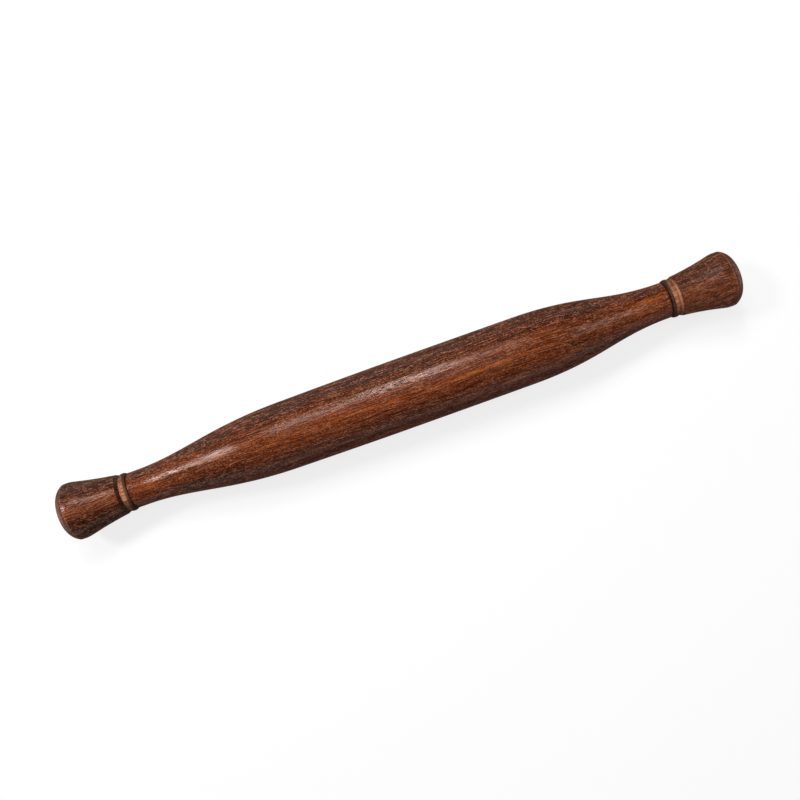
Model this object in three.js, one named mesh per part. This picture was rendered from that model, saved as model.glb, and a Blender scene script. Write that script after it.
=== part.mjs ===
// A turned hardwood rolling pin whose end knobs revolve.
// The roller narrows through long shoulders to a slim neck at each end. A flared knob turns on a steel
// shoulder screw set in the neck, with a pale wooden collar between neck and knob. The screw's head and its
// washer sit in the knob's counterbore, which a wooden plug closes flush with the knob's end.
// Millimetres. X runs along the pin, Z is up, and the origin is the middle of the pin's axis.
import * as THREE from "three";

// Roller
const rollerLength = 282.6;
const rollerDiameter = 35.3;
const neckDiameter = 18.2;
const neckChamfer = 0.3;
// The barrel narrows a little from its middle to each shoulder, and hand turning left the shoulders unlike.
// Fullness is the share of the shoulder's length that stays close to the barrel or to the neck.
const leftShoulderDiameter = 34.45;
const leftShoulderLength = 79;
const leftBarrelFullness = 0.485;
const leftNeckFullness = 0.32;
const leftNeckLength = 4.8;
const rightShoulderDiameter = 35.1;
const rightShoulderLength = 76.1;
const rightBarrelFullness = 0.5;
const rightNeckFullness = 0.385;
const rightNeckLength = 0.6;

// Collar between neck and knob
const collarDiameter = 19.7;
const collarEdgeDiameter = 18.4;
const collarWidth = 3.5;

// Knobs
const knobLength = 32.6;
const leftKnobDiameter = 29.2;
const rightKnobDiameter = 28.4;
const knobWaistDiameter = 20.5;
const knobBevelLength = 1.9;
const knobBevelDepth = 0.8;
const flareAngle = THREE.MathUtils.degToRad(13.5);
const crownRadius = 16;
const crownAngle = THREE.MathUtils.degToRad(6);
const domeHeight = 4.8;
const endLand = 0.6;

// Shoulder screw, its washer and the plug that hides its head
const shoulderDiameter = 6;
const threadDiameter = 4.4;
const threadLength = 28;
const threadPoint = 3;
const headDiameter = 10;
const headHeight = 2.6;
const washerDiameter = 11;
const washerThickness = 1;
const plugDiameter = 12;
const plugThickness = 5;
const plugChamfer = 0.3;

// Clearances
const jointGap = 0.3;
const runningClearance = 0.2;
const glueClearance = 0.2;
const endClearance = 0.6;

// Facets round the axis, and steps along each curve of an outline
const woodSides = 40;
const hardwareSides = 24;
const shoulderSteps = 18;
const flareSteps = 6;
const crownSteps = 4;
const domeSteps = 9;
const collarSteps = 6;
const headSteps = 4;

const neckRadius = neckDiameter / 2;
const rollerRadius = rollerDiameter / 2;
const screwHoleRadius = threadDiameter / 2 + glueClearance;
const bearingRadius = shoulderDiameter / 2 + runningClearance;
const counterboreRadius = plugDiameter / 2 + glueClearance;

// Places along an end, counted outwards from the end face of the neck
const collarStart = jointGap;
const knobStart = collarStart + collarWidth + jointGap;
const knobEnd = knobStart + knobLength;
const plugStart = knobEnd - plugThickness;
const headStart = plugStart - endClearance - headHeight;
const washerStart = headStart - jointGap - washerThickness;
const counterboreFloor = washerStart - jointGap;

const rollerWood = { color: 0x6b3a24, roughness: 0.4, metalness: 0 };
const knobWood = { color: 0x55301f, roughness: 0.42, metalness: 0 };
const collarWood = { color: 0xa9714a, roughness: 0.6, metalness: 0 };
const steel = { color: 0xb4b6b8, roughness: 0.35, metalness: 1 };

// One turned piece: an outline of (radius, place along the axis) spun round, laid with its axis along X
// and with a flat facet facing down.
function turned(name, outline, sides, look) {
  const geometry = new THREE.LatheGeometry(outline, sides, Math.PI / sides);
  const mesh = new THREE.Mesh(geometry, new THREE.MeshStandardMaterial(look));
  mesh.name = name;
  mesh.rotation.z = -Math.PI / 2;
  return mesh;
}

// Points of a circular arc in an outline, between two angles that are counted from the radial direction
// towards the far end of the axis.
function arc(radius, centreRadius, centreAlong, fromAngle, toAngle, steps) {
  return Array.from({ length: steps + 1 }, (_, i) => {
    const angle = fromAngle + ((toAngle - fromAngle) * i) / steps;
    return new THREE.Vector2(
      centreRadius + radius * Math.cos(angle),
      centreAlong + radius * Math.sin(angle),
    );
  });
}

// Half of the roller's outline, from the middle of the barrel to the floor of the screw's hole in the neck.
function halfOutline(shoulderDiameter, shoulderLength, barrelFullness, neckFullness, neckLength) {
  const end = rollerLength / 2;
  const holeFloor = end - threadLength - endClearance;
  const shoulderRadius = shoulderDiameter / 2;
  const shoulderEnd = end - neckLength;
  const shoulderStart = shoulderEnd - shoulderLength;
  // The shoulder leaves the barrel along the barrel's own taper.
  const taper = (shoulderRadius - rollerRadius) / shoulderStart;
  const barrelPull = barrelFullness * shoulderLength;
  const shoulder = new THREE.CubicBezierCurve(
    new THREE.Vector2(shoulderRadius, shoulderStart),
    new THREE.Vector2(shoulderRadius + taper * barrelPull, shoulderStart + barrelPull),
    new THREE.Vector2(neckRadius, shoulderEnd - neckFullness * shoulderLength),
    new THREE.Vector2(neckRadius, shoulderEnd),
  );
  return [
    new THREE.Vector2(rollerRadius, 0),
    ...shoulder.getPoints(shoulderSteps),
    new THREE.Vector2(neckRadius, end - neckChamfer),
    new THREE.Vector2(neckRadius - neckChamfer, end),
    new THREE.Vector2(screwHoleRadius, end),
    new THREE.Vector2(screwHoleRadius, holeFloor),
    new THREE.Vector2(0, holeFloor),
  ];
}

// The roller: barrel, shoulders and necks in one piece of wood.
function makeRoller() {
  const left = halfOutline(
    leftShoulderDiameter,
    leftShoulderLength,
    leftBarrelFullness,
    leftNeckFullness,
    leftNeckLength,
  );
  const right = halfOutline(
    rightShoulderDiameter,
    rightShoulderLength,
    rightBarrelFullness,
    rightNeckFullness,
    rightNeckLength,
  );
  const mirrored = left.reverse().map((point) => new THREE.Vector2(point.x, -point.y));
  return turned("roller", [...mirrored, ...right.slice(1)], woodSides, rollerWood);
}

// A loose ring with a crowned outer face, threaded on the screw's shoulder.
function makeCollar(name) {
  const rise = (collarDiameter - collarEdgeDiameter) / 2;
  const halfWidth = collarWidth / 2;
  const faceRadius = (halfWidth ** 2 + rise ** 2) / (2 * rise);
  const faceCentre = collarDiameter / 2 - faceRadius;
  const halfAngle = Math.asin(halfWidth / faceRadius);
  const outline = [
    new THREE.Vector2(bearingRadius, collarStart),
    ...arc(faceRadius, faceCentre, collarStart + halfWidth, -halfAngle, halfAngle, collarSteps),
    new THREE.Vector2(bearingRadius, collarStart + collarWidth),
    new THREE.Vector2(bearingRadius, collarStart),
  ];
  return turned(name, outline, woodSides, collarWood);
}

// A knob that flares from a bevelled waist to a crowned rim. A crisp edge parts the rim from the domed end,
// which is flat round the plug. The bearing hole runs through to the counterbore for the screw's head.
function makeKnob(name, diameter) {
  const waist = new THREE.Vector2(knobWaistDiameter / 2, knobStart + knobBevelLength);
  const rimEdge = knobEnd - domeHeight;
  const crownCentre = rimEdge - crownRadius * Math.sin(crownAngle);
  const crownCentreRadius = diameter / 2 - crownRadius;
  const crown = arc(crownRadius, crownCentreRadius, crownCentre, -flareAngle, crownAngle, crownSteps);
  // The dome runs out flat at the land round the counterbore.
  const landRadius = counterboreRadius + endLand;
  const domeReach = crown[crownSteps].x - landRadius;
  const domeRadius = (domeReach ** 2 + domeHeight ** 2) / (2 * domeHeight);
  const domeStartAngle = Math.asin(1 - domeHeight / domeRadius);
  const dome = arc(domeRadius, landRadius, knobEnd - domeRadius, domeStartAngle, Math.PI / 2, domeSteps);
  // The flare meets the crown along the crown's own tangent, and leaves the waist nearly straight.
  const flareMiddle = (waist.y + crown[0].y) / 2;
  const pullRadius = crown[0].x - Math.tan(flareAngle) * (crown[0].y - flareMiddle);
  const pull = new THREE.Vector2(pullRadius, flareMiddle);
  const flare = new THREE.QuadraticBezierCurve(waist, pull, crown[0]).getPoints(flareSteps);
  const outline = [
    new THREE.Vector2(bearingRadius, knobStart),
    new THREE.Vector2(waist.x - knobBevelDepth, knobStart),
    ...flare,
    ...crown.slice(1),
    ...dome.slice(1),
    new THREE.Vector2(counterboreRadius, knobEnd),
    new THREE.Vector2(counterboreRadius, counterboreFloor),
    new THREE.Vector2(bearingRadius, counterboreFloor),
    new THREE.Vector2(bearingRadius, knobStart),
  ];
  return turned(name, outline, woodSides, knobWood);
}

// A steel shoulder screw: a pointed thread in the neck, a plain shoulder for the knob to turn on, and a
// domed head that keeps the knob from sliding off.
function makeScrew(name) {
  const threadRadius = threadDiameter / 2;
  const shoulderRadius = shoulderDiameter / 2;
  const headRadius = headDiameter / 2;
  const dome = new THREE.QuadraticBezierCurve(
    new THREE.Vector2(headRadius, headStart + headHeight / 2),
    new THREE.Vector2(headRadius, headStart + headHeight),
    new THREE.Vector2(0, headStart + headHeight),
  );
  const outline = [
    new THREE.Vector2(0, -threadLength),
    new THREE.Vector2(threadRadius, -threadLength + threadPoint),
    new THREE.Vector2(threadRadius, jointGap),
    new THREE.Vector2(shoulderRadius, jointGap),
    new THREE.Vector2(shoulderRadius, headStart),
    new THREE.Vector2(headRadius, headStart),
    ...dome.getPoints(headSteps),
  ];
  return turned(name, outline, hardwareSides, steel);
}

// The flat washer between the screw's head and the floor of the counterbore.
function makeWasher(name) {
  const outline = [
    new THREE.Vector2(bearingRadius, washerStart),
    new THREE.Vector2(washerDiameter / 2, washerStart),
    new THREE.Vector2(washerDiameter / 2, washerStart + washerThickness),
    new THREE.Vector2(bearingRadius, washerStart + washerThickness),
    new THREE.Vector2(bearingRadius, washerStart),
  ];
  return turned(name, outline, hardwareSides, steel);
}

// The wooden plug glued into the counterbore, flush with the knob's end.
function makePlug(name) {
  const outline = [
    new THREE.Vector2(0, plugStart),
    new THREE.Vector2(plugDiameter / 2 - plugChamfer, plugStart),
    new THREE.Vector2(plugDiameter / 2, plugStart + plugChamfer),
    new THREE.Vector2(plugDiameter / 2, knobEnd),
    new THREE.Vector2(0, knobEnd),
  ];
  return turned(name, outline, hardwareSides, knobWood);
}

// Everything on one end of the roller, built outwards from the face of its neck.
function makeEnd(side, knobDiameter) {
  const group = new THREE.Group();
  group.add(
    makeCollar(`${side}_collar`),
    makeKnob(`${side}_knob`, knobDiameter),
    makeScrew(`${side}_shoulder_screw`),
    makeWasher(`${side}_washer`),
    makePlug(`${side}_plug`),
  );
  return group;
}

const leftEnd = makeEnd("left", leftKnobDiameter);
leftEnd.position.x = -rollerLength / 2;
leftEnd.rotation.z = Math.PI;

const rightEnd = makeEnd("right", rightKnobDiameter);
rightEnd.position.x = rollerLength / 2;

const rollingPin = new THREE.Group();
rollingPin.add(makeRoller(), leftEnd, rightEnd);

export default rollingPin;
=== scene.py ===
"""A turned hardwood rolling pin with revolving knobs, on a pale floor and seen from straight above."""
import math

import bmesh
import bpy
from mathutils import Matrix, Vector


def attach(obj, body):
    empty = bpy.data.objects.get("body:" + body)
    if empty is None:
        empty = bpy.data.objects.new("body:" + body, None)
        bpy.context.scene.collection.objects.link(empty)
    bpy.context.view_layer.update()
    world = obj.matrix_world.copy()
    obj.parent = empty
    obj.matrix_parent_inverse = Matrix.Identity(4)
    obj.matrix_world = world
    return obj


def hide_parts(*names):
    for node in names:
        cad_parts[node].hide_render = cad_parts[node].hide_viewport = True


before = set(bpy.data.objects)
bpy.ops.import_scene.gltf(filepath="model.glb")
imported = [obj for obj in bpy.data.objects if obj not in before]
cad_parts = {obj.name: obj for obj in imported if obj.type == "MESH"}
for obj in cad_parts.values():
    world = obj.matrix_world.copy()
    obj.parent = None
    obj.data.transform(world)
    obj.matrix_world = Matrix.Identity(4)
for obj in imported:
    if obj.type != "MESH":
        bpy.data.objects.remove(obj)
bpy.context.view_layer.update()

MM = 0.001

# Turning
SEGMENTS = 160              # facets round the axis
SUPPORT = 0.2 * MM          # a ring this close to each hard edge keeps flat stretches flat in the shading
SAME_RING = 0.01 * MM       # points closer than this are on one ring
EDGE_STEPS = 4              # facets across a rounded corner
SHARP_TURN = math.radians(40)  # a turn above this is a corner in any case
LEAST_TURN = math.radians(10)  # and one above this if it stands out from those beside it
TURN_JUMP = 2.2             # by turning this many times as much
ROUND_SHARE = 0.4           # a rounded corner takes at most this share of the run on each side
TRIM_SHARE = 0.9            # and at most this share of a run's last stretch


# Outlines of the turned pieces, taken from the frame

def spun_outline(node):
    """The outline that a node was spun from, as (place along the axis, radius), and if it closes."""
    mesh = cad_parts[node].data
    rings, ring_of = [], []
    for vertex in mesh.vertices:
        place = Vector((vertex.co.x, math.hypot(vertex.co.y, vertex.co.z)))
        found = next((i for i, ring in enumerate(rings) if (ring - place).length < SAME_RING), len(rings))
        if found == len(rings):
            rings.append(place)
        ring_of.append(found)
    beside = {i: set() for i in range(len(rings))}
    for edge in mesh.edges:
        a, b = (ring_of[i] for i in edge.vertices)
        if a != b:
            beside[a].add(b)
            beside[b].add(a)
    tips = [i for i in beside if len(beside[i]) == 1]
    walk = [tips[0] if tips else 0]
    while onward := [i for i in sorted(beside[walk[-1]]) if i not in walk]:
        walk.append(onward[0])
    return [rings[i] for i in walk], not tips


def smooth_runs(points, closed):
    """The outline cut at its hard corners into runs that are smooth inside."""
    count = len(points)

    def turn(i):
        if not closed and i in (0, count - 1):
            return 0.0
        before, here, after = points[i - 1], points[i], points[(i + 1) % count]
        return (here - before).angle(after - here)

    turns = [turn(i) for i in range(count)]

    def is_corner(i):
        calm = min(turns[i - 1], turns[(i + 1) % count])
        return turns[i] > SHARP_TURN or turns[i] > max(LEAST_TURN, TURN_JUMP * calm)

    cuts = [i for i in range(count) if is_corner(i)]
    if closed:
        ring = points + points
        return [ring[a:b + 1] for a, b in zip(cuts, cuts[1:] + [cuts[0] + count])]
    cuts = [0] + [i for i in cuts if 0 < i < count - 1] + [count - 1]
    return [points[a:b + 1] for a, b in zip(cuts, cuts[1:])]


def slopes(values, spans):
    """Slopes of a curve through the values that never overshoots them."""
    rises = [(b - a) / span for a, b, span in zip(values, values[1:], spans)]
    made = [rises[0]]
    for a, b in zip(rises, rises[1:]):
        made.append(2 * a * b / (a + b) if a * b > 0 else 0.0)
    return made + [rises[-1]]


def trace(run, step):
    """A run drawn as one smooth curve, in short steps."""
    spans = [(b - a).length for a, b in zip(run, run[1:])]
    along, outward = (slopes([place[axis] for place in run], spans) for axis in (0, 1))
    tangents = [Vector(pair) for pair in zip(along, outward)]
    drawn = [run[0]]
    for i, span in enumerate(spans):
        steps = math.ceil(span / step)
        for k in range(1, steps + 1):
            u = k / steps
            drawn.append(
                run[i] * (1 + 2 * u) * (1 - u) ** 2
                + tangents[i] * span * u * (1 - u) ** 2
                + run[i + 1] * u * u * (3 - 2 * u)
                - tangents[i + 1] * span * u * u * (1 - u)
            )
    return drawn


def pull_back(run, distance):
    """The run without its last stretch of that length."""
    left, kept = distance, list(run)
    while len(kept) > 2 and (kept[-1] - kept[-2]).length <= left:
        left -= (kept[-1] - kept[-2]).length
        kept.pop()
    step = kept[-1] - kept[-2]
    kept[-1] = kept[-1] - step * min(left / step.length, TRIM_SHARE)
    return kept


def with_support(run):
    """The run with an extra ring close to each end, where the end stretch is long enough."""
    made = list(run)
    for side in (0, -1):
        here, there = (made[0], made[1]) if side == 0 else (made[-1], made[-2])
        if (there - here).length > 2 * SUPPORT:
            made.insert(1 if side == 0 else -1, here + (there - here).normalized() * SUPPORT)
    return made


def fine_outline(node, step, edge):
    """A node's outline drawn smooth, with every hard corner rounded off by about the given size."""
    points, closed = spun_outline(node)
    runs = [trace(run, step) for run in smooth_runs(points, closed)]
    corners = [run[-1] for run in runs]
    lengths = [sum((b - a).length for a, b in zip(run, run[1:])) for run in runs]
    rounded = range(len(runs)) if closed else range(len(runs) - 1)
    shorter = {i: min(lengths[i], lengths[(i + 1) % len(runs)]) for i in rounded}
    cut = {i: min(edge, ROUND_SHARE * shorter[i]) for i in rounded}
    trimmed = []
    for i, run in enumerate(runs):
        if i in cut:
            run = pull_back(run, cut[i])
        if (i - 1) % len(runs) in cut:
            run = pull_back(run[::-1], cut[(i - 1) % len(runs)])[::-1]
        trimmed.append(with_support(run))
    outline = []
    for i, run in enumerate(trimmed):
        outline += run
        if i in cut:
            start, end = run[-1], trimmed[(i + 1) % len(runs)][0]
            for k in range(1, EDGE_STEPS):
                u = k / EDGE_STEPS
                outline.append(start * (1 - u) ** 2 + corners[i] * 2 * u * (1 - u) + end * u * u)
    return outline, closed


def spin(name, outline, closed):
    """A closed mesh spun from an outline round the X axis."""
    shape = bmesh.new()
    angles = [math.tau * k / SEGMENTS for k in range(SEGMENTS)]
    rings = []
    for place in outline:
        if place.y < SAME_RING:
            rings.append([shape.verts.new((place.x, 0, 0))])
            continue
        spots = [Vector((math.cos(a), math.sin(a))) * place.y for a in angles]
        rings.append([shape.verts.new((place.x, *spot)) for spot in spots])
    pairs = list(zip(rings, rings[1:])) + ([(rings[-1], rings[0])] if closed else [])
    for first, second in pairs:
        for k in range(SEGMENTS):
            n = (k + 1) % SEGMENTS
            if len(first) == 1:
                shape.faces.new((first[0], second[k], second[n]))
            elif len(second) == 1:
                shape.faces.new((first[n], first[k], second[0]))
            else:
                shape.faces.new((first[k], second[k], second[n], first[n]))
    bmesh.ops.recalc_face_normals(shape, faces=shape.faces)
    mesh = bpy.data.meshes.new(name)
    shape.to_mesh(mesh)
    shape.free()
    mesh.shade_smooth()
    piece = bpy.data.objects.new(name, mesh)
    bpy.context.scene.collection.objects.link(piece)
    return piece


# Materials

def linear(red, green, blue):
    """A colour written as 0 to 255 screen values, as the linear values that shaders take."""
    parts = [c / 255 for c in (red, green, blue)]
    return [c / 12.92 if c <= 0.04045 else ((c + 0.055) / 1.055) ** 2.4 for c in parts] + [1.0]


class Recipe:
    """The node tree of a material or world, with one short call for each kind of node."""

    def __init__(self, owner):
        owner.use_nodes = True
        self.owner = owner
        self.tree = owner.node_tree
        self.tree.nodes.clear()

    def node(self, kind, inputs, **settings):
        """A new node, each of its inputs set to a value or linked to another node's output."""
        made = self.tree.nodes.new(kind)
        for key, value in settings.items():
            setattr(made, key, value)
        for key, value in inputs.items():
            if isinstance(value, bpy.types.NodeSocket):
                self.tree.links.new(value, made.inputs[key])
            else:
                made.inputs[key].default_value = value
        return made

    def math(self, operation, *values):
        """The result of one step of arithmetic."""
        return self.node("ShaderNodeMath", dict(enumerate(values)), operation=operation).outputs[0]

    def place(self, shift=(0, 0, 0)):
        """Places on the piece in millimetres, shifted."""
        where = self.node("ShaderNodeTexCoord", {}).outputs["Object"]
        inputs = {"Vector": where, "Scale": (1 / MM,) * 3, "Location": shift}
        return self.node("ShaderNodeMapping", inputs).outputs[0]

    def axis(self, vector, index):
        """One coordinate of a vector."""
        return self.node("ShaderNodeSeparateXYZ", {0: vector}).outputs[index]

    def stretch(self, vector, scale):
        """The vector with each coordinate multiplied by its own scale."""
        return self.node("ShaderNodeMapping", {"Vector": vector, "Scale": scale}).outputs[0]

    def noise(self, vector, detail=2.0, roughness=0.5, output=0):
        """Soft noise round 0.5, one value from output 0 or three from output 1."""
        inputs = {"Vector": vector, "Scale": 1.0, "Detail": detail, "Roughness": roughness}
        return self.node("ShaderNodeTexNoise", inputs).outputs[output]

    def uneven(self, value, layers):
        """The value, raised and lowered by each layer of noise as much as its strength says."""
        for layer, strength in layers:
            value = self.math("MULTIPLY_ADD", self.math("SUBTRACT", layer, 0.5), strength, value)
        return value

    def between(self, value, low, high, from_value=0.0, to_value=1.0):
        """A smooth step from one value to another as the input goes from low to high."""
        inputs = {0: value, 1: low, 2: high, 3: from_value, 4: to_value}
        return self.node("ShaderNodeMapRange", inputs, interpolation_type="SMOOTHSTEP").outputs[0]

    def blob(self, vector, middle, half, turn):
        """1 in the middle of an ellipsoid turned about Z, falling smoothly to 0 at its surface."""
        inputs = {"Vector": vector, "Location": middle, "Scale": half, "Rotation": (0, 0, turn)}
        inside = self.node("ShaderNodeMapping", inputs, vector_type="TEXTURE").outputs[0]
        away = self.node("ShaderNodeVectorMath", {0: inside}, operation="LENGTH").outputs["Value"]
        return self.between(away, 0.2, 1.0, 1.0, 0.0)

    def ramp(self, value, stops):
        """The colour that belongs to a value, from stops of (value, colour)."""
        made = self.node("ShaderNodeValToRGB", {0: value})
        elements = made.color_ramp.elements
        while len(elements) < len(stops):
            elements.new(0.5)
        for element, (position, colour) in zip(elements, stops):
            element.position = position
            element.color = colour
        return made.outputs[0]

    def mix(self, factor, a, b):
        """Colour a where the factor is 0, and b where it is 1."""
        return self.node("ShaderNodeMix", {0: factor, 6: a, 7: b}, data_type="RGBA").outputs[2]

    def seen(self):
        """1 for what is seen, straight, mirrored or through glass, and 0 for what only gives light."""
        path = self.node("ShaderNodeLightPath", {}).outputs
        straight = self.math("MAXIMUM", path["Is Camera Ray"], path["Is Glossy Ray"])
        return self.math("MAXIMUM", straight, path["Is Transmission Ray"])

    def finish(self, shader, output="ShaderNodeOutputMaterial"):
        """The material or world, with the shader on its output."""
        self.node(output, {"Surface": shader})
        return self.owner


# Grain of the wood, as noise with this many waves to a millimetre along X, Y and Z
SWAY_WAVES = (0.012, 0.05, 0.05)
SWAY = (0.0, 5.0, 5.0)      # how far the fibres sway, in millimetres
LAYER_WAVES = (0.008, 0.42, 0.22)
FINE_GRAIN = (              # waves along and across, and detail, of fibres, dashes, specks and pores
    (0.08, 2.1, 2.0),
    (0.26, 2.3, 2.0),
    (1.05, 2.6, 1.0),
    (0.25, 2.5, 1.0),
)
GRAIN_DEPTH = 0.45          # waves along Z for each one across, so fine grain is drawn out downwards
FIGURE_REACH = 18.0         # the figure is given this far to each side of the axis
FLECK_GAIN = 3.0            # how strongly fine grain lightens the wood
DARK_GAIN = 3.4             # and darkens it
RING_TOP = 3.0             # up to this far across from the axis a ring of colour has its full amount
RING_SIDE = 9.0            # and from here on its amount at the sides
RELIEF = 0.06 * MM          # height of the open grain


def swaying(r, cut):
    """A function that bends places as the fibres sway in that cut of the tree."""
    sway = r.noise(r.stretch(cut, SWAY_WAVES), 2.0, output=1)
    centred = {0: sway, 1: (0.5, 0.5, 0.5)}
    offset = r.node("ShaderNodeVectorMath", centred, operation="SUBTRACT").outputs[0]

    def swayed(vector):
        inputs = {0: offset, 1: SWAY, 2: vector}
        return r.node("ShaderNodeVectorMath", inputs, operation="MULTIPLY_ADD").outputs[0]

    return swayed


def figured(r, place, figure, layers, marks):
    """The tone of the wood: its figure across the piece, made uneven by layers of noise, and its marks."""
    across = r.axis(place, 1)
    reach = r.node("ShaderNodeMapRange", {0: across, 1: -FIGURE_REACH, 2: FIGURE_REACH}).outputs[0]
    stops = [((at + FIGURE_REACH) / (2 * FIGURE_REACH), (tone, tone, tone, 1)) for at, tone in figure]
    tone = r.uneven(r.ramp(reach, stops), layers)
    for middle, half, turn, change in marks:
        tone = r.math("MULTIPLY_ADD", r.blob(place, middle, half, turn), change, tone)
    return tone


def ringed(r, colour, place, fibres, colour_rings):
    """The colour with rings round the piece, patchy along the fibres: stain, painted shade, painted light.
    """
    along = r.axis(place, 0)
    beside = r.math("ABSOLUTE", r.axis(place, 1))
    patchy = r.between(fibres, 0.3, 0.6, 0.7, 1.0)
    for middle, half, tint, amount, at_sides in colour_rings:
        away = r.math("ABSOLUTE", r.math("SUBTRACT", along, middle))
        ring = r.between(away, 0.5 * half, half, 1.0, 0.0)
        depth = r.math("MULTIPLY", r.between(beside, RING_TOP, RING_SIDE, amount, at_sides), patchy)
        colour = r.mix(r.math("MULTIPLY", ring, depth), colour, tint)
    return colour


def oiled(r, colour, fibres, dashes, pit, dull):
    """Wood of that colour under a satin oil finish, its highlights drawn out round the axis."""
    height = r.math("MULTIPLY_ADD", dashes, 0.6, fibres)
    height = r.math("MULTIPLY_ADD", pit, -1.0, height)
    normal = r.node("ShaderNodeBump", {"Height": height, "Strength": 1.0, "Distance": RELIEF}).outputs[0]
    # The finish is duller on the sides and ends, where it would mirror the pale floor.
    facing = r.node("ShaderNodeTexCoord", {}).outputs["Normal"]
    sides = r.between(r.math("ABSOLUTE", r.axis(facing, 2)), 0.52, 0.78, 0.6, 0.0)
    roughness = r.math("ADD", sides, r.between(dashes, 0.38, 0.62, 0.2 + dull, 0.09 + dull))
    roughness = r.math("MULTIPLY_ADD", pit, 0.3, roughness)
    round_axis = r.node("ShaderNodeTangent", {}, direction_type="RADIAL", axis="X").outputs[0]
    shader = r.node(
        "ShaderNodeBsdfPrincipled",
        {
            "Base Color": colour,
            "Roughness": roughness,
            "Normal": normal,
            "IOR": 1.45,
            "Specular IOR Level": 0.23,
            "Specular Tint": (1.0, 0.78, 0.7, 1.0),
            "Anisotropic": 0.85,
            "Tangent": round_axis,
        },
    )
    return shader.outputs[0]


def wood(name, tones, figure, broad, fine, pores=0.0, dull=0.0, shift=(0, 0, 0), marks=(), colour_rings=()):
    """Open-pored hardwood with its fibres along X, under a satin oil finish.

    tones are the colours from the darkest streaks to the palest, and figure is the tone across the piece,
    which on the knobs and collars also holds painted highlight and shade. broad is how much the growth
    layers and the fibres change the tone, and fine how much the fibres, the short dashes and the specks
    lighten and darken it. The higher pores is, the more pores open, and dull is added to the roughness.
    shift moves the piece to another place in the tree. marks are streaks as (middle, half sizes, turn,
    change of tone), and colour_rings are rings round the piece as (place along X, half width, colour,
    amount, amount at the sides): stain and painted shade in grooves and creases, and painted light on
    faces and edges that turn to the lamps.
    """
    r = Recipe(bpy.data.materials.new(name))
    place = r.place()
    cut = r.place(shift)
    swayed = swaying(r, cut)
    grain = swayed(cut)
    layers = r.noise(r.stretch(grain, LAYER_WAVES), 3.0, 0.6)
    fibres, dashes, specks, pits = (
        r.noise(r.stretch(grain, (along, across, GRAIN_DEPTH * across)), detail, 0.55)
        for along, across, detail in FINE_GRAIN
    )
    tone = figured(r, swayed(place), figure, zip((layers, fibres), broad), marks)
    colour = r.ramp(tone, tones)
    bright = r.uneven(0.0, zip((fibres, dashes, specks), fine))
    colour = r.mix(r.math("MULTIPLY", bright, FLECK_GAIN), colour, FLECK)
    colour = r.mix(r.math("MULTIPLY", bright, -DARK_GAIN), colour, DARK)
    pit = r.between(pits, 0.69 - pores, 0.76 - pores)
    colour = r.mix(r.math("MULTIPLY", pit, 0.8), colour, PORE)
    colour = ringed(r, colour, place, fibres, colour_rings)
    return r.finish(oiled(r, colour, fibres, dashes, pit, dull))


def steel(name):
    """Turned steel with fine rings from the lathe."""
    r = Recipe(bpy.data.materials.new(name))
    place = r.place()
    rings = r.noise(r.stretch(place, (9.0, 0.3, 0.3)), 2.0)
    patches = r.noise(r.stretch(place, (0.3, 0.3, 0.3)), 3.0)
    colour = r.mix(patches, linear(168, 170, 172), linear(190, 191, 192))
    relief = {"Height": rings, "Strength": 0.3, "Distance": 0.02 * MM}
    normal = r.node("ShaderNodeBump", relief).outputs[0]
    roughness = r.between(rings, 0.3, 0.7, 0.28, 0.4)
    shader = r.node(
        "ShaderNodeBsdfPrincipled",
        {"Base Color": colour, "Metallic": 1.0, "Roughness": roughness, "Normal": normal},
    )
    return r.finish(shader.outputs[0])


PORE = linear(26, 5, 0)
DARK = linear(42, 9, 0)
FLECK = linear(158, 105, 78)
# Dark colour of the rings: some stain, and painted shade in the grooves and creases
SHADE_AND_STAIN = linear(33, 10, 3)
# Pale colour of the rings: painted light on faces turned to the key lamp and a painted highlight on edges,
# with some wear
LIGHT_AND_WEAR = linear(178, 118, 84)
# Paler tone over the domes of the knobs' ends: end grain, and a painted sheen
END_GRAIN_AND_SHEEN = linear(116, 62, 36)
ROLLER_TONES = (
    (0.20, linear(41, 11, 0)),
    (0.42, linear(75, 28, 7)),
    (0.58, linear(101, 44, 16)),
    (0.68, linear(124, 56, 19)),
    (0.88, linear(156, 81, 31)),
)
KNOB_TONES = (
    (0.20, linear(36, 12, 3)),
    (0.42, linear(72, 30, 12)),
    (0.60, linear(105, 51, 27)),
    (0.85, linear(145, 84, 52)),
)
# The collars' pale wood: partly their own lighter wood, partly painted light on groove faces turned to the
# key lamp
PALE_TONES = (
    (0.10, linear(76, 42, 27)),
    (0.30, linear(118, 70, 46)),
    (0.50, linear(174, 115, 84)),
    (0.75, linear(198, 142, 110)),
)
# Tone by the place across a piece, along Y in millimetres
ROLLER_FIGURE = (
    (-16.0, 0.38), (-12.5, 0.43), (-9.5, 0.45), (-7.5, 0.50), (-5.5, 0.54), (-3.5, 0.56), (-1.8, 0.61),
    (0.5, 0.58), (4.0, 0.56), (6.5, 0.51), (9.0, 0.41), (11.5, 0.34), (13.5, 0.30), (16.0, 0.28),
)
# On the left knob the pale band near the middle is partly a painted highlight
KNOB_TONE_ACROSS = {
    "left": (
        (-13.0, 0.20), (-9.0, 0.26), (-5.0, 0.33), (-3.5, 0.46), (-2.0, 0.58), (0.0, 0.61), (2.0, 0.56),
        (4.0, 0.40), (6.0, 0.29), (12.0, 0.23),
    ),
    "right": (
        (-13.0, 0.54), (-7.0, 0.55), (-3.0, 0.55), (1.0, 0.58), (4.0, 0.43), (7.0, 0.37), (12.0, 0.34),
    ),
}
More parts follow.
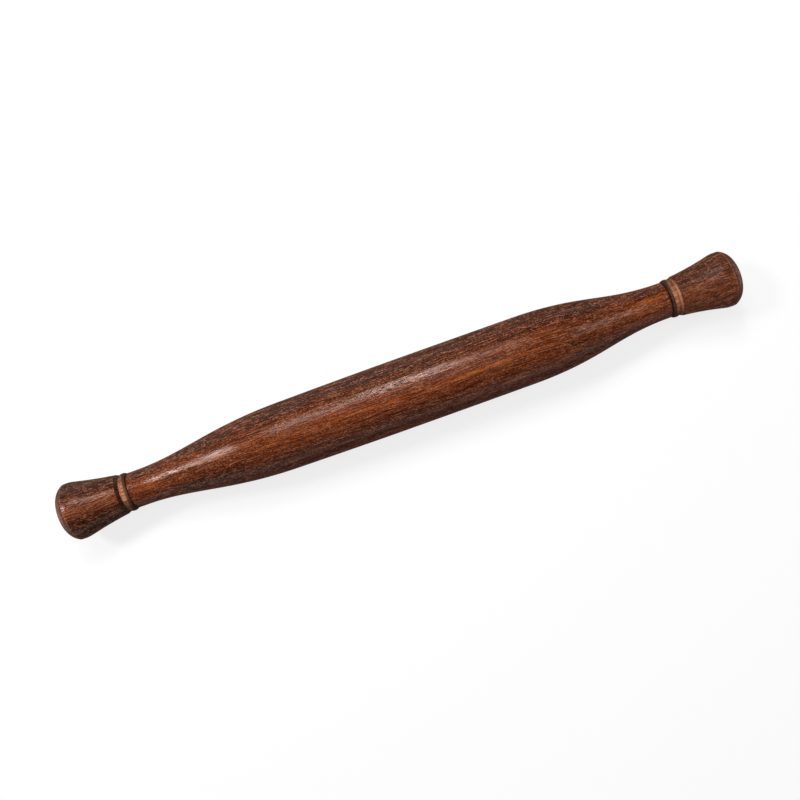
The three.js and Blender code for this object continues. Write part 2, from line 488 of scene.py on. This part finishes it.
# Pale on top of each collar and darker towards the sides, as painted shade
COLLAR_TONE_ACROSS = {
    "left": (
        (-9.0, 0.06), (-6.5, 0.14), (-4.5, 0.36), (-2.5, 0.53), (2.0, 0.48), (4.5, 0.36), (6.5, 0.20),
        (8.5, 0.08),
    ),
    "right": (
        (-9.0, 0.14), (-7.0, 0.24), (-5.0, 0.38), (-3.0, 0.49), (2.5, 0.49), (5.5, 0.28), (8.5, 0.12),
    ),
}
# Streaks on the roller, pale ones with a rise of tone and dark ones with a fall, in millimetres
ROLLER_MARKS = (
    ((-15, -0.8, 16), (32, 1.6, 8), -0.04, 0.16),
    ((45, -2.0, 16), (44, 1.8, 8), 0.0, 0.18),
    ((70, 9.2, 14), (18, 1.5, 8), 0.0, -0.20),
    ((98, 7.4, 11), (15, 1.4, 8), -0.12, -0.20),
    ((-3, -9.1, 15), (42, 2.8, 8), 0.0, -0.10),
    ((-3, 12.6, 12), (38, 1.8, 8), -0.04, -0.16),
    ((-58, 10.8, 13), (21, 1.6, 8), 0.0, -0.16),
    ((-98, -7.0, 8), (42, 6.0, 9), 0.0, -0.28),
    ((-98, 9.0, 8), (30, 4.0, 9), 0.0, -0.22),
    ((-131, 6.0, 7), (14, 3.5, 6), 0.0, -0.22),
    ((130, 6.0, 7), (14, 3.5, 6), 0.0, -0.20),
    ((96, 9.0, 10), (20, 4.0, 8), 0.0, -0.22),
    ((-50, -9.0, 13), (24, 3.5, 8), 0.0, -0.10),
    ((-55, 13.0, 11), (26, 3.0, 8), 0.0, -0.12),
    ((50, 2.0, 16), (22, 2.2, 8), 0.0, -0.08),
    ((-98, -1.0, 12), (34, 3.5, 9), 0.0, -0.12),
    ((95, 2.0, 12), (26, 14.0, 14), 0.0, -0.10),
    ((129, 1.6, 9), (13, 2.6, 6), 0.0, 0.24),
    ((-131, -1.2, 9), (11, 2.8, 6), 0.0, 0.12),
)


# The pieces

FINE = {                    # greatest length of the facets along a piece, and rounding of its corners
    "roller": (2.0 * MM, 0.15 * MM),
    "collar": (0.25 * MM, 0.05 * MM),
    "knob": (0.6 * MM, 0.08 * MM),
    "plug": (0.6 * MM, 0.1 * MM),
    "shoulder_screw": (0.5 * MM, 0.1 * MM),
    "washer": (0.5 * MM, 0.1 * MM),
}
COLLAR_LONGER = 0.22 * MM   # so the running gap at the knob reads as a thin line


def ends_of(node):
    """Where a node starts and ends, as distances from the middle of the pin in millimetres."""
    places = [abs(vertex.co.x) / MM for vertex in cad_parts[node].data.vertices]
    return min(places), max(places)


def lengthened(outline, by):
    """An end piece's outline, stretched outwards from the middle of the pin by that much."""
    places = [abs(place.x) for place in outline]
    start, scale = min(places), 1 + by / (max(places) - min(places))
    return [Vector((math.copysign(start + (abs(p.x) - start) * scale, p.x), p.y)) for p in outline]


def turned_piece(node, body, material, fineness, longer=0.0):
    """A smooth piece that takes the place of a turned node and moves with a body."""
    outline, closed = fine_outline(node, *fineness)
    piece = spin("fine_" + node, lengthened(outline, longer), closed)
    piece.data.materials.append(material)
    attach(piece, body)
    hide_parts(node)
    return piece


NECK_END = ends_of("roller")[1]
COLLAR_START = ends_of("left_collar")[0]
KNOB_START, KNOB_END = ends_of("left_knob")
CREASE = KNOB_END - 4.8     # where the dome of a knob's end begins
# Painted shade in the grooves where the necks meet the collars, more on the right end, which faces away
# from the key lamp
NECK_RINGS = ((-NECK_END + 0.4, 0.9, SHADE_AND_STAIN, 0.35, 0.6), (NECK_END - 0.3, 0.7, SHADE_AND_STAIN, 0.45, 0.5))
# Left knob: painted shade on its bevel in the groove, which faces away from the key lamp. Right knob:
# painted light on its bevel, which faces the lamp, and a dark line at its edge. At each crease: a painted
# highlight on the knob's side and painted shade just beyond. Then the paler end dome.
KNOB_RINGS = {
    "left": (
        (-KNOB_START - 0.8, 1.2, SHADE_AND_STAIN, 0.9, 0.6),
        (-CREASE + 0.3, 0.4, LIGHT_AND_WEAR, 0.3, 0.2),
        (-CREASE - 0.3, 0.4, SHADE_AND_STAIN, 0.45, 0.4),
        (-KNOB_END + 1.6, 2.6, END_GRAIN_AND_SHEEN, 0.35, 0.3),
    ),
    "right": (
        (KNOB_START + 0.3, 1.1, LIGHT_AND_WEAR, 0.7, 0.1),
        (KNOB_START + 1.6, 0.5, SHADE_AND_STAIN, 0.5, 0.4),
        (CREASE - 0.3, 0.4, LIGHT_AND_WEAR, 0.2, 0.2),
        (CREASE + 0.3, 0.4, SHADE_AND_STAIN, 0.5, 0.5),
        (KNOB_END - 1.6, 2.6, END_GRAIN_AND_SHEEN, 0.2, 0.15),
    ),
}
# Painted shade over each collar's part next to the neck, in the groove there, with some stain
COLLAR_RINGS = {
    "left": ((-COLLAR_START - 0.2, 1.4, SHADE_AND_STAIN, 0.8, 0.85),),
    "right": ((COLLAR_START + 0.5, 1.2, SHADE_AND_STAIN, 1.0, 0.9),),
}
KNOB_GRAIN = {"broad": (0.8, 0.5), "fine": (0.6, 0.45, 0.7), "pores": 0.08}
KNOB_SHIFTS = {"left": (300, 31, 8), "right": (-260, -27, 15)}
PLUG_SHIFTS = {"left": (-420, 13, -44), "right": (390, -52, 21)}
KNOB_DULLNESS = {"left": 0.0, "right": 0.2}
PLUG_DULLNESS = 0.2
COLLAR_DULLNESS = 0.3

roller_wood = wood(
    "roller_wood_look",
    ROLLER_TONES,
    ROLLER_FIGURE,
    broad=(0.6, 0.3),
    fine=(0.65, 0.5, 0.85),
    pores=0.08,
    marks=ROLLER_MARKS,
    colour_rings=NECK_RINGS,
)
steel_look = steel("steel_look")
roller = turned_piece("roller", "roller_body", roller_wood, FINE["roller"])
for side in ("left", "right"):
    grip = side + "_grip"
    knob_wood = wood(
        side + "_knob_wood_look",
        KNOB_TONES,
        KNOB_TONE_ACROSS[side],
        **KNOB_GRAIN,
        dull=KNOB_DULLNESS[side],
        shift=KNOB_SHIFTS[side],
        colour_rings=KNOB_RINGS[side],
    )
    plug_wood = wood(
        side + "_plug_wood_look",
        KNOB_TONES,
        KNOB_TONE_ACROSS["right"],
        **KNOB_GRAIN,
        dull=PLUG_DULLNESS,
        shift=PLUG_SHIFTS[side],
    )
    collar_wood = wood(
        side + "_collar_wood_look",
        PALE_TONES,
        COLLAR_TONE_ACROSS[side],
        broad=(0.3, 0.8),
        fine=(0.5, 0.5, 0.7),
        dull=COLLAR_DULLNESS,
        shift=KNOB_SHIFTS[side],
        colour_rings=COLLAR_RINGS[side],
    )
    collar = side + "_collar"
    turned_piece(collar, "roller_body", collar_wood, FINE["collar"], COLLAR_LONGER)
    turned_piece(side + "_knob", grip, knob_wood, FINE["knob"])
    turned_piece(side + "_plug", grip, plug_wood, FINE["plug"])
    for part in ("shoulder_screw", "washer"):
        turned_piece(f"{side}_{part}", "roller_body", steel_look, FINE[part])


# Floor, light and camera

IMAGE_SIZE = 800            # pixels each way
SENSOR = 36.0               # width in millimetres
CAMERA_HEIGHT = 0.46        # metres above the pin's axis
PIXEL_AT_AXIS = 0.5 * MM    # what a pixel covers at the height of the axis
PIN_MIDDLE = (399.2, 395.2)  # where the middle of the pin lies in the image, in pixels
PIN_TILT = math.radians(19.68)
FLOOR_REACH = 20.0          # metres from the middle to each side
FLOOR_COLOUR = (0.93, 0.93, 0.93, 1)
WHITE = 0.8                 # of what is seen of the floor and the horizon
DIM = 0.05                  # the light from all round
HORIZON = (0.2, 0.5)        # the pale horizon fades out between these sines of the angle above level


def make_floor():
    """A pale floor under the roller, on which the shadow stays."""
    level = min(vertex.co.z for vertex in roller.data.vertices)
    mesh = bpy.data.meshes.new("floor")
    corners = [(-1, -1), (1, -1), (1, 1), (-1, 1)]
    mesh.from_pydata([(x * FLOOR_REACH, y * FLOOR_REACH, level) for x, y in corners], [], [(0, 1, 2, 3)])
    floor = bpy.data.objects.new("floor", mesh)
    bpy.context.scene.collection.objects.link(floor)
    r = Recipe(bpy.data.materials.new("floor_look"))
    matte = r.node("ShaderNodeBsdfDiffuse", {"Color": FLOOR_COLOUR}).outputs[0]
    white = r.node("ShaderNodeEmission", {"Color": (1, 1, 1, 1), "Strength": 1.0}).outputs[0]
    share = r.math("MULTIPLY", r.seen(), WHITE)
    pale = r.node("ShaderNodeMixShader", {0: share, 1: matte, 2: white}).outputs[0]
    mesh.materials.append(r.finish(pale))


def make_world():
    """Dim all round, with a pale horizon that runs on from the floor."""
    r = Recipe(bpy.data.worlds.new("world"))
    rise = r.axis(r.node("ShaderNodeTexCoord", {}).outputs["Generated"], 2)
    pale = r.math("MULTIPLY", r.seen(), r.between(rise, *HORIZON, WHITE - DIM, 0.0))
    strength = r.math("ADD", pale, DIM)
    light = r.node("ShaderNodeBackground", {"Color": (1, 1, 1, 1), "Strength": strength}).outputs[0]
    bpy.context.scene.world = r.finish(light, "ShaderNodeOutputWorld")


def soft_box(name, along, across, distance, size, radiance):
    """An oblong lamp aimed at the middle of the pin, with distance and size in metres.

    Its direction is given by its angles from straight up, along X and along Y in degrees.
    """
    data = bpy.data.lights.new(name, "AREA")
    data.shape = "RECTANGLE"
    data.size, data.size_y = size
    data.energy = radiance * math.pi * size[0] * size[1]
    lamp = bpy.data.objects.new(name, data)
    towards = Vector((math.tan(math.radians(along)), math.tan(math.radians(across)), 1)).normalized()
    lamp.location = towards * distance
    lamp.rotation_euler = towards.to_track_quat("Z", "Y").to_euler()
    lamp.visible_camera = False
    bpy.context.scene.collection.objects.link(lamp)


def make_camera():
    """A camera straight above, placed and turned so that the pin lies in the image as in the photo."""
    data = bpy.data.cameras.new("camera")
    data.sensor_width = SENSOR
    data.lens = SENSOR * CAMERA_HEIGHT / (IMAGE_SIZE * PIXEL_AT_AXIS)
    camera = bpy.data.objects.new("camera", data)
    right = (IMAGE_SIZE / 2 - PIN_MIDDLE[0]) * PIXEL_AT_AXIS
    up = (PIN_MIDDLE[1] - IMAGE_SIZE / 2) * PIXEL_AT_AXIS
    turn_cos, turn_sin = math.cos(PIN_TILT), math.sin(PIN_TILT)
    camera.location = (right * turn_cos + up * turn_sin, up * turn_cos - right * turn_sin, CAMERA_HEIGHT)
    camera.rotation_euler = (0, 0, -PIN_TILT)
    bpy.context.scene.collection.objects.link(camera)
    bpy.context.scene.camera = camera


make_floor()
soft_box("key", -36, 25, 1.0, (0.17, 0.17), 60.0)
soft_box("top", 1, 37, 1.0, (0.14, 0.24), 38.0)
soft_box("top_left", -13, 32, 1.0, (0.22, 0.28), 12.0)
soft_box("top_right", 10, 34, 1.0, (0.16, 0.2), 10.0)
soft_box("over_right", 6, 10, 1.0, (0.3, 0.3), 1.8)
soft_box("right_fill", 37, 0, 1.2, (0.3, 0.3), 7.0)
soft_box("low_fill", -66, -47, 1.2, (0.6, 0.6), 0.8)
make_world()
make_camera()
bpy.context.scene.view_settings.view_transform = "Standard"
